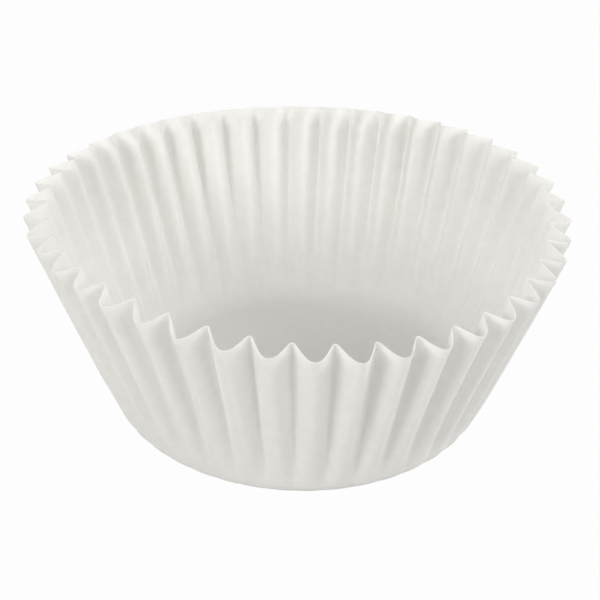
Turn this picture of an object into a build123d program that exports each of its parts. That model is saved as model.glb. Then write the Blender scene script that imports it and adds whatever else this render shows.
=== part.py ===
from build123d import *
from math import atan2, cos, hypot, pi, sin, sqrt, tan
import os

# A fluted paper baking cup, pressed in one piece from a flat round sheet of paper.
# Millimetres, +Z up. The origin is the middle of the underside, on the surface it stands on.

# Driving dimensions
base_diameter = 50.8     # across the bottom, to where the line of the wall meets the table
rim_diameter = 69.0      # across the rim, midway between its outer and inner folds
height = 30.2            # from the table to the rim, midway between its outer and inner folds
paper = 0.08             # thickness of the paper
corner_radius = 4.3      # bend from the floor up into the wall, at the middle of the paper
flute_count = 44         # folds round the cup
flute_depth = 3.0        # from the inner folds to the outer folds at the rim
fold_growth = 0.75       # 0.5 keeps all the spare paper in the flutes, more presses some flat low down
crease_softness = 0.25   # 0 is a knife crease along the inner folds, 1 is a plain wave

# The middle of the paper, seen as one line from the centre of the floor to the rim
floor_middle = paper / 2
base_radius = base_diameter / 2
rim_radius = rim_diameter / 2
wall_rise = height - floor_middle
wall_slope = atan2(wall_rise, rim_radius - base_radius)
corner_setback = corner_radius * tan(wall_slope / 2)
floor_radius = base_radius - corner_setback
corner_length = corner_radius * wall_slope
wall_length = hypot(wall_rise, rim_radius - base_radius) - corner_setback
disc_radius = floor_radius + corner_length + wall_length

# Where the curved patches of each flute meet: across it, counted in flutes from one outer
# fold to the next, and up it, as distances along the paper from the edge of the floor
patch_turns = [0, 0.25, 0.4, 0.5, 0.6, 0.75, 1]
corner_patches = 2
wall_patches = 4
nudge = 0.0005           # step that slopes are read over


def mean_line(path):
    """Radius, height and slope of the unfluted cup, a distance along the paper from its centre."""
    past_floor = path - floor_radius
    slope = min(max(past_floor / corner_radius, 0), wall_slope)
    up_wall = max(past_floor - corner_length, 0)
    flat = min(path, floor_radius)
    radius = flat + corner_radius * sin(slope) + up_wall * cos(slope)
    level = floor_middle + corner_radius * (1 - cos(slope)) + up_wall * sin(slope)
    return radius, level, slope


def fold_depth(path):
    """The flutes take up the paper that the cup, narrower than its flat sheet, has no room for."""
    radius = mean_line(path)[0]
    spare = path**2 - radius**2
    spare_at_rim = disc_radius**2 - rim_radius**2
    return flute_depth * (max(spare, 0) / spare_at_rim) ** fold_growth


def fold_shape(turn):
    """One flute from outer fold to outer fold, 1/2 at its round outside and -1/2 at its crease."""
    wave = sqrt(cos(pi * turn) ** 2 + crease_softness**2)
    return (wave - crease_softness) / (sqrt(1 + crease_softness**2) - crease_softness) - 0.5


def paper_middle(turn, path):
    """Point on the middle of the paper. One turn is a flute, counted from an outer fold."""
    radius, level, slope = mean_line(path)
    lift = fold_depth(path) * fold_shape(turn)
    angle = 2 * pi * turn / flute_count
    reach = radius + lift * sin(slope)
    return Vector(reach * cos(angle), reach * sin(angle), level - lift * cos(slope))


def paper_skin(turn, path, side):
    """Point on the outside (side 1) or the inside (side -1) of the paper."""
    middle = paper_middle(turn, path)
    if path <= floor_radius:
        return middle - Vector(0, 0, side * paper / 2)
    along = paper_middle(turn + nudge, path) - paper_middle(turn - nudge, path)
    up = paper_middle(turn, path + nudge) - paper_middle(turn, path - nudge)
    return middle + along.cross(up).normalized() * (side * paper / 2)


def stations(start, end):
    """Two places at each end of a stretch, close enough together to read its slope there."""
    return [start, start + nudge, end - nudge, end]


def curve_handles(points, length):
    """Four control points of the curve that has the ends and end slopes of such a stretch."""
    reach = length / (3 * nudge)
    first, after_first, before_last, last = points
    leave = first + (after_first - first) * reach
    arrive = last + (before_last - last) * reach
    return [first, leave, arrive, last]


def patch_handles(turn_span, path_span, side):
    """Control points of one patch of paper, in rows of four: four rows in the bend, and two
    on the wall, where the paper runs straight up from one row to the next."""
    turn_length = turn_span[1] - turn_span[0]
    path_length = path_span[1] - path_span[0]
    on_wall = path_span[1] > floor_radius + corner_length + nudge
    rows = []
    for path in path_span if on_wall else stations(*path_span):
        across = [paper_skin(turn, path, side) for turn in stations(*turn_span)]
        rows.append(curve_handles(across, turn_length))
    if on_wall:
        return rows
    columns = [curve_handles(column, path_length) for column in zip(*rows)]
    return [list(row) for row in zip(*columns)]


def path_spans():
    """The stretches of paper, up the bend and then up the wall, that the patches cover."""
    corner = [corner_length * step / corner_patches for step in range(corner_patches)]
    wall = [corner_length + wall_length * step / wall_patches for step in range(wall_patches)]
    edges = [floor_radius + past_floor for past_floor in corner + wall] + [disc_radius]
    return list(zip(edges, edges[1:]))


def make_cup():
    """Both skins of the fluted paper, its cut edge at the rim and its floor, as one solid."""
    spans = path_spans()
    faces = []
    floor_edges = {1: [], -1: []}
    for flute in range(flute_count):
        turns = [flute + turn for turn in patch_turns]
        for turn_span in zip(turns, turns[1:]):
            rim_rows = []
            for side in (1, -1):
                patches = [patch_handles(turn_span, path_span, side) for path_span in spans]
                faces += [Face.make_bezier_surface(patch) for patch in patches]
                floor_edges[side].append(Edge.make_bezier(*patches[0][0]))
                rim_rows.append(patches[-1][-1])
            faces.append(Face.make_bezier_surface(rim_rows))
    faces += [Face(Wire(edges)) for edges in floor_edges.values()]
    return Solid(Shell(Face.sew_faces(faces)[0]))


os.makedirs("parts", exist_ok=True)
baking_cup = make_cup()
export_step(baking_cup, "parts/baking_cup.step")
print("flat sheet", round(2 * disc_radius, 2), "mm across, floor", round(2 * floor_radius, 2))
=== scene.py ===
import bpy
import math
import random
from mathutils import Matrix, Vector, noise


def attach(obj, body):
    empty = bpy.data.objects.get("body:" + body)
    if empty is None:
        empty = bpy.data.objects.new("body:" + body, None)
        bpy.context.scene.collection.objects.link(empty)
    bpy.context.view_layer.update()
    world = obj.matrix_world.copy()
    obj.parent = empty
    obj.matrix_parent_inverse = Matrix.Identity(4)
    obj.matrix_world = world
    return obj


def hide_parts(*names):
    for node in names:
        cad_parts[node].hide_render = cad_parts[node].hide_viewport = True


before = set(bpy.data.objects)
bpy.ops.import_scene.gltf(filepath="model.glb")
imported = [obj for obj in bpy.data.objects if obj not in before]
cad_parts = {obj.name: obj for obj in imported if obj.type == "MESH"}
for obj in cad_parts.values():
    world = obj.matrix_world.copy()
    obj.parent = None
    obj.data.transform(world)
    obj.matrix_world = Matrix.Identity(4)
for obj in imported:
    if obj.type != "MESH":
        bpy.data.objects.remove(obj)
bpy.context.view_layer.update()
mm = 0.001


class Sock:
    # a shader socket that adds, takes away and multiplies like a number
    def __init__(self, nodes, socket):
        self.nodes = nodes
        self.socket = socket

    def math(self, operation, a, b):
        return self.nodes.add("ShaderNodeMath", {"operation": operation}, {0: a, 1: b})

    def __add__(self, other):
        return self.math("ADD", self, other)

    def __sub__(self, other):
        return self.math("SUBTRACT", self, other)

    def __rsub__(self, other):
        return self.math("SUBTRACT", other, self)

    def __mul__(self, other):
        return self.math("MULTIPLY", self, other)

    __radd__ = __add__
    __rmul__ = __mul__


class Nodes:
    # one node tree: add() takes a node's type, its settings, then values or links for its sockets
    def __init__(self, tree):
        self.tree = tree
        tree.nodes.clear()

    def add(self, kind, settings=None, inputs=None, output=0):
        node = self.tree.nodes.new(kind)
        for key, value in (settings or {}).items():
            setattr(node, key, value)
        for key, value in (inputs or {}).items():
            if isinstance(value, Sock):
                self.tree.links.new(value.socket, node.inputs[key])
            else:
                node.inputs[key].default_value = value
        return Sock(self, node.outputs[output]) if node.outputs else None


def newMaterial(name):
    material = bpy.data.materials.new(name)
    material.use_nodes = True
    return material, Nodes(material.node_tree)


# what a user would change on the cup, in millimetres and degrees unless a note says otherwise
cup = {
    "bottomAcross": 50.8,       # to where the line of the wall meets the table
    "rimAcross": 69.0,          # midway between the outer and the inner folds
    "height": 30.2,             # to the rim, midway between the folds
    "paper": 0.08,
    "cornerRadius": 4.3,

    "flutes": 44,
    "fluteDepth": 3.0,          # from inner to outer folds, at the rim
    "foldGrowth": 0.54,         # 0.5 keeps all the spare paper in the flutes, more presses some flat
    "firstFold": 3.5,           # where the outer fold nearest +X stands
    "softRim": 0.3,             # of the creases at the rim: 0 is a knife crease, 1 nearly a plain wave
    "softFoot": 0.2,            # and at the foot of the wall
    "footRise": 11.0,           # length of paper, from the floor's edge, over which the flutes start
    "front": -90,               # side on which the creases are the inner folds
    "turnedOver": 1.0,          # how far they are the outer folds on the far side

    "openRim": 0.9,             # how far the cut edge is flattened on one side
    "openTowards": 106,         # that side
    "openReach": 62,            # how far round it this goes each way
    "openFade": 0.5,            # share of that, at its end, over which it fades
    "openDepth": 2.4,           # length of paper that it takes

    # how the thin paper strays at the rim: times round, size, where its crest stands
    "outward": [(0, 0.3, 0), (1, 1.3, -110), (3, 0.2, 50)],
    "upward": [(1, 1.1, 145), (2, 1.1, 60), (3, 0.25, 0)],
    "sideways": [(1, 0.4, 80), (2, 0.2, 155), (3, 0.4, -100), (4, 0.4, 135), (5, 0.4, -140)],
    "seed": 11,
    "foldShift": 0.22,          # each fold by itself, round the cup
    "foldDepth": 0.07,          # each fold by itself, as a share of its depth
    "ripple": 0.05,             # in and out of the wall
    "rippleSize": 7.0,
    "rippleStart": 0.25,        # share of the way up at which the ripple is full

    "columns": 16,              # of the mesh, in one flute
    "floorRings": 5,
    "floorInset": 0.93,         # share of the floor's radius that those rings cover
    "cornerRings": 9,
    "wallRings": 36,
    "smoothBelow": 50,          # edges that turn by less than this are shaded smooth

    "light": (0.935, 0.927, 0.908, 1),
    "cloud": (0.875, 0.864, 0.842, 1),
    "cloudSize": 800,           # clouds in the pulp, per metre
    "fibreSize": 2600,          # flecks of fibre, per metre
    "cloudShare": 0.7,          # of the mottling, where the flecks make the rest
    "cloudContrast": 3.0,
    "roughness": 0.78,
    "fibreRoughness": 0.1,      # added in the flecks
    "gloss": 0.35,
    "fuzz": 0.08,
    "seeThrough": 0.38,         # share of the light that goes on through one face
    "relief": 0.00002,          # height of the paper's grain, in metres
    "reliefStrength": 0.5,
}

# the cup before fluting, as one line from the middle of its floor to the rim
baseRadius = cup["bottomAcross"] / 2
rimRadius = cup["rimAcross"] / 2
floorLevel = cup["paper"] / 2
wallSlope = math.atan2(cup["height"] - floorLevel, rimRadius - baseRadius)
setback = cup["cornerRadius"] * math.tan(wallSlope / 2)
floorRadius = baseRadius - setback
cornerLength = cup["cornerRadius"] * wallSlope
wallLength = math.hypot(cup["height"] - floorLevel, rimRadius - baseRadius) - setback
sheetRadius = floorRadius + cornerLength + wallLength


def meanLine(path):
    # radius, level and slope at a distance along the paper
    past = path - floorRadius
    slope = min(max(past / cup["cornerRadius"], 0), wallSlope)
    up = max(past - cornerLength, 0)
    radius = min(path, floorRadius) + cup["cornerRadius"] * math.sin(slope) + up * math.cos(slope)
    level = floorLevel + cup["cornerRadius"] * (1 - math.cos(slope)) + up * math.sin(slope)
    return radius, level, slope


def ringPaths():
    # where the mesh's rings stand along the paper, outside the floor
    corner = [floorRadius + cornerLength * (i + 1) / cup["cornerRings"] for i in range(cup["cornerRings"])]
    wall = [corner[-1] + wallLength * (i + 1) / cup["wallRings"] for i in range(cup["wallRings"])]
    return corner + wall


def modelPlainCup():
    # a disc for the floor, and rings pulled from its edge up the bend and the wall
    bpy.ops.object.select_all(action="DESELECT")
    bpy.ops.mesh.primitive_circle_add(vertices=cup["flutes"] * cup["columns"], radius=floorRadius * mm,
                                      fill_type="NGON", location=(0, 0, floorLevel * mm))
    piece = bpy.context.object
    piece.name = "fluted_paper"
    bpy.ops.object.mode_set(mode="EDIT")
    bpy.ops.mesh.select_all(action="SELECT")
    for ring in range(cup["floorRings"]):
        bpy.ops.mesh.inset(thickness=floorRadius * mm * cup["floorInset"] / cup["floorRings"])
    bpy.ops.mesh.select_mode(type="EDGE")
    bpy.ops.mesh.select_all(action="SELECT")
    bpy.ops.mesh.region_to_loop()          # the disc's outer edge
    radius, level = floorRadius, floorLevel
    for path in ringPaths():
        nextRadius, nextLevel = meanLine(path)[:2]
        bpy.ops.mesh.extrude_edges_move(TRANSFORM_OT_translate={"value": (0, 0, (nextLevel - level) * mm)})
        grow = nextRadius / radius
        bpy.ops.transform.resize(value=(grow, grow, 1), center_override=(0, 0, nextLevel * mm))
        radius, level = nextRadius, nextLevel
    bpy.ops.object.mode_set(mode="OBJECT")
    bpy.ops.object.transform_apply(location=True, rotation=True, scale=True)
    return piece


def ease(share):
    share = min(max(share, 0), 1)
    return share * share * (3 - 2 * share)


def waves(angle, terms):
    return sum(size * math.cos(count * angle - math.radians(crest)) for count, size, crest in terms)


def between(values, place):
    # eases from one fold's own value to the next one's
    before, part = int(place) % len(values), ease(place % 1)
    return values[before] * (1 - part) + values[(before + 1) % len(values)] * part


def ridge(turn, softness):
    # 1/2 on round folds at whole turns, -1/2 in the creases half a turn from them
    wave = math.sqrt(math.cos(math.pi * turn) ** 2 + softness ** 2)
    return (wave - softness) / (math.sqrt(1 + softness ** 2) - softness) - 0.5


def foldShape(turn, softness, turnedOver):
    # creased along the inner folds, or, turned over, along the outer ones
    return ridge(turn, softness) * (1 - turnedOver) - ridge(turn + 0.5, softness) * turnedOver


def flattening(path, angle):
    # share of the flutes' depth that is lost along the cut edge, on the side where it is open
    nearRim = ease(1 - (sheetRadius - path) / cup["openDepth"])
    aside = abs((math.degrees(angle) - cup["openTowards"] + 180) % 360 - 180)
    return ease((1 - aside / cup["openReach"]) / cup["openFade"]) * nearRim * cup["openRim"]


def pressFlutes(piece):
    # moves each point of the plain cup to its place on the fluted, slightly uneven one
    random.seed(cup["seed"])
    folds = 2 * cup["flutes"]              # outer and inner ones, in turn
    shifts = [random.uniform(-1, 1) * cup["foldShift"] for i in range(folds)]
    depths = [1 + random.uniform(-1, 1) * cup["foldDepth"] for i in range(folds)]
    levels = {round(meanLine(path)[1], 3): path for path in ringPaths()}
    spareAtRim = sheetRadius ** 2 - rimRadius ** 2
    for vertex in piece.data.vertices:
        x, y, z = vertex.co / mm
        path = levels.get(round(z, 3), math.hypot(x, y))     # by its level, or, on the floor, its radius
        radius, level, slope = meanLine(path)
        rise = max(path - floorRadius, 0) / (sheetRadius - floorRadius)
        angle = math.atan2(y, x)
        turn = (math.degrees(angle) - cup["firstFold"]) * cup["flutes"] / 360
        fold = (turn * 2) % folds
        spare = (max(path ** 2 - radius ** 2, 0) / spareAtRim) ** cup["foldGrowth"]
        start = ease((path - floorRadius) / cup["footRise"])
        depth = cup["fluteDepth"] * spare * between(depths, fold) * start
        depth *= 1 - flattening(path, angle)
        softness = cup["softFoot"] + (cup["softRim"] - cup["softFoot"]) * rise
        far = 0.5 - 0.5 * math.cos(angle - math.radians(cup["front"]))
        lift = depth * foldShape(turn, softness, far * cup["turnedOver"])
        where = Vector((x, y, z)) / cup["rippleSize"]
        lift += cup["ripple"] * noise.noise(where) * min(rise / cup["rippleStart"], 1)
        turned = angle + math.radians(waves(angle, cup["sideways"]) + between(shifts, fold)) * rise
        reach = radius + lift * math.sin(slope) + waves(angle, cup["outward"]) * rise
        height = level - lift * math.cos(slope) + waves(angle, cup["upward"]) * rise
        vertex.co = Vector((reach * math.cos(turned), reach * math.sin(turned), height)) * mm


def givePaperItsThickness(piece):
    thick = piece.modifiers.new("paper", "SOLIDIFY")
    thick.thickness = cup["paper"] * mm
    thick.offset = 0
    thick.use_even_offset = True
    bpy.context.view_layer.objects.active = piece
    bpy.ops.object.modifier_apply(modifier=thick.name)
    bpy.ops.object.select_all(action="DESELECT")
    piece.select_set(True)
    bpy.ops.object.shade_smooth_by_angle(angle=math.radians(cup["smoothBelow"]))


def makePaper():
    material, n = newMaterial("white_baking_paper")
    place = n.add("ShaderNodeTexCoord", output=3)            # the Object output
    clouds = n.add("ShaderNodeTexNoise", {}, {"Vector": place, "Scale": cup["cloudSize"], "Detail": 5.0,
                                              "Roughness": 0.6})
    flecks = n.add("ShaderNodeTexNoise", {}, {"Vector": place, "Scale": cup["fibreSize"], "Detail": 3.0,
                                              "Roughness": 0.55, "Distortion": 1.2})
    mottle = clouds * cup["cloudShare"] + flecks * (1 - cup["cloudShare"])
    mottle = (mottle - 0.5) * cup["cloudContrast"] + 0.5
    tint = n.add("ShaderNodeMix", {"data_type": "RGBA"}, {0: mottle, 6: cup["light"], 7: cup["cloud"]},
                 output=2)
    bump = n.add("ShaderNodeBump", {}, {"Strength": cup["reliefStrength"], "Distance": cup["relief"],
                                        "Height": clouds * 0.5 + flecks * 0.5})
    reflecting = n.add("ShaderNodeBsdfPrincipled", {}, {
        "Base Color": tint, "Roughness": cup["roughness"] + flecks * cup["fibreRoughness"],
        "Specular IOR Level": cup["gloss"], "Sheen Weight": cup["fuzz"], "Sheen Roughness": 0.6,
        "Normal": bump})
    through = n.add("ShaderNodeBsdfTranslucent", {}, {"Color": cup["light"], "Normal": bump})
    both = n.add("ShaderNodeMixShader", {}, {0: cup["seeThrough"], 1: reflecting, 2: through})
    n.add("ShaderNodeOutputMaterial", {}, {"Surface": both})
    return material


paperCup = modelPlainCup()
print("plain cup:", len(paperCup.data.vertices), "points")
pressFlutes(paperCup)
givePaperItsThickness(paperCup)
paperCup.data.materials.append(makePaper())
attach(paperCup, "root")
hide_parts("baking_cup")
print("fluted cup:", len(paperCup.data.polygons), "faces")

# what a user would change in the studio, in millimetres and degrees
studio = {
    "cameraDistance": 195.6,    # from the point it looks at
    "cameraHeight": 30.0,       # as an angle above the table
    "cameraRoll": 0.68,
    "lens": 83.85,
    "sensor": 36,
    "nearClip": 10,
    "aim": 14.9,                # level of the point it looks at
    "table": 900,               # across
    "tableShade": 0.5,
    "tableDrop": 0.05,          # below the cup, so that the two faces don't fight
    "whiteShare": 0.975,        # of the table that is plain white to the camera
    "skyAround": 0.45,          # light from the level of the table
    "skyAbove": 0.1,            # and from overhead
    "lamps": {                  # direction round the cup, height, distance, size, watts
        "left_light": (-131, 27, 440, 170, 0.92),
        "right_light": (-52, 27, 440, 200, 0.52),
        "side_light": (-5, 32, 440, 220, 0.75),
        "back_light": (95, 25, 440, 260, 0.4),
    },
}


def whenSeen(n):
    # 1 for what the camera sees, in gloss and through glass too
    rays = n.tree.nodes.new("ShaderNodeLightPath")
    seen = [Sock(n, rays.outputs[name]) for name in ("Is Camera Ray", "Is Glossy Ray", "Is Transmission Ray")]
    return n.add("ShaderNodeMath", {"operation": "MINIMUM"}, {0: seen[0] + seen[1] + seen[2], 1: 1.0})


def makeTable():
    bpy.ops.object.select_all(action="DESELECT")
    bpy.ops.mesh.primitive_plane_add(size=studio["table"] * mm, location=(0, 0, -studio["tableDrop"] * mm))
    table = bpy.context.object
    table.name = "table"
    material, n = newMaterial("pale_table")
    shade = studio["tableShade"]
    lit = n.add("ShaderNodeBsdfDiffuse", {}, {"Color": (shade, shade, shade, 1)})
    white = n.add("ShaderNodeEmission", {}, {"Color": (1, 1, 1, 1), "Strength": 1.0})
    mix = n.add("ShaderNodeMixShader", {}, {0: whenSeen(n) * studio["whiteShare"], 1: lit, 2: white})
    n.add("ShaderNodeOutputMaterial", {}, {"Surface": mix})
    table.data.materials.append(material)


def makeSky():
    # lights the cup from all round, and is plain white where the camera sees it
    world = bpy.data.worlds.new("studio")
    bpy.context.scene.world = world
    world.use_nodes = True
    n = Nodes(world.node_tree)
    direction = n.add("ShaderNodeTexCoord", output=0)        # the Generated output
    upward = n.add("ShaderNodeSeparateXYZ", {}, {0: direction}, output=2)
    above = n.add("ShaderNodeMath", {"operation": "MAXIMUM"}, {0: upward, 1: 0.0})
    strength = above * (studio["skyAbove"] - studio["skyAround"]) + studio["skyAround"]
    glow = n.add("ShaderNodeBackground", {}, {"Color": (1, 1, 1, 1), "Strength": strength})
    white = n.add("ShaderNodeBackground", {}, {"Color": (1, 1, 1, 1), "Strength": 1.0})
    mix = n.add("ShaderNodeMixShader", {}, {0: whenSeen(n), 1: glow, 2: white})
    n.add("ShaderNodeOutputWorld", {}, {"Surface": mix})


def addLamp(name, heading, climb, distance, size, power):
    heading, climb = math.radians(heading), math.radians(climb)
    away = Vector((math.cos(heading) * math.cos(climb), math.sin(heading) * math.cos(climb), math.sin(climb)))
    bpy.ops.object.light_add(type="AREA", location=away * distance * mm)
    lamp = bpy.context.object
    lamp.name = name
    lamp.data.size = size * mm
    lamp.data.energy = power
    lamp.rotation_euler = (-away).to_track_quat("-Z", "Y").to_euler()


def placeCamera():
    camera = bpy.data.objects.new("camera", bpy.data.cameras.new("camera"))
    bpy.context.scene.collection.objects.link(camera)
    tilt = math.radians(studio["cameraHeight"])
    away = Vector((0, -math.cos(tilt), math.sin(tilt))) * studio["cameraDistance"] * mm
    turn = Matrix.Rotation(math.radians(90) - tilt, 4, "X")
    roll = Matrix.Rotation(math.radians(studio["cameraRoll"]), 4, "Z")
    camera.matrix_world = Matrix.Translation(away + Vector((0, 0, studio["aim"] * mm))) @ turn @ roll
    camera.data.lens = studio["lens"]
    camera.data.sensor_width = studio["sensor"]
    camera.data.clip_start = studio["nearClip"] * mm
    bpy.context.scene.camera = camera


makeTable()
makeSky()
for name, lamp in studio["lamps"].items():
    addLamp(name, *lamp)
placeCamera()
bpy.context.scene.view_settings.view_transform = "Standard"
print("studio ready")
